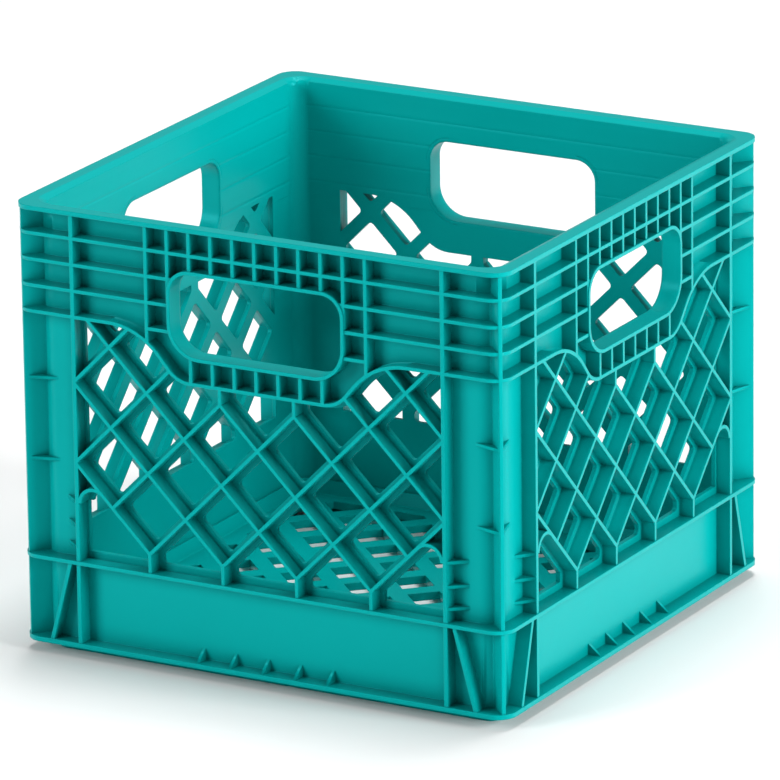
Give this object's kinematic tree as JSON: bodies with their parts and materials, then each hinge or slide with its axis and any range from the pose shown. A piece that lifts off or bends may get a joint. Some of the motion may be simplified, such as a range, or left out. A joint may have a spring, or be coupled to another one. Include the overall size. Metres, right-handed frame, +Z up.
{
  "type": "milk crate",
  "caption": "Square stackable dairy crate with open diagonal lattice sides, ribbed corner posts, oblong hand holds and a grid floor.",
  "frame": {"origin": "centre of the foot rail's bottom face", "axes": "+Z up out of the open top, -Y towards the front side in the picture, +X towards the side seen on the right"},
  "size_m": [0.33, 0.33, 0.279],
  "materials": {
    "crate_plastic": "satin injection-moulded HDPE, teal all through"
  },
  "bodies": {
    "root": {"rim_front": "crate_plastic", "rim_right": "crate_plastic", "rim_back": "crate_plastic", "rim_left": "crate_plastic", "post_front_right": "crate_plastic", "post_back_right": "crate_plastic", "post_back_left": "crate_plastic", "post_front_left": "crate_plastic", "header_front": "crate_plastic", "header_right": "crate_plastic", "header_back": "crate_plastic", "header_left": "crate_plastic", "sill_front": "crate_plastic", "sill_right": "crate_plastic", "sill_back": "crate_plastic", "sill_left": "crate_plastic", "cheek_front_right": "crate_plastic", "cheek_front_left": "crate_plastic", "cheek_right_right": "crate_plastic", "cheek_right_left": "crate_plastic", "cheek_back_right": "crate_plastic", "cheek_back_left": "crate_plastic", "cheek_left_right": "crate_plastic", "cheek_left_left": "crate_plastic", "grip_front": "crate_plastic", "grip_right": "crate_plastic", "grip_back": "crate_plastic", "grip_left": "crate_plastic", "lattice_front": "crate_plastic", "lattice_right": "crate_plastic", "lattice_back": "crate_plastic", "lattice_left": "crate_plastic", "skirt_front": "crate_plastic", "skirt_right": "crate_plastic", "skirt_back": "crate_plastic", "skirt_left": "crate_plastic", "foot_front": "crate_plastic", "foot_right": "crate_plastic", "foot_back": "crate_plastic", "foot_left": "crate_plastic", "floor_grille": "crate_plastic"}
  },
  "joints": []
}
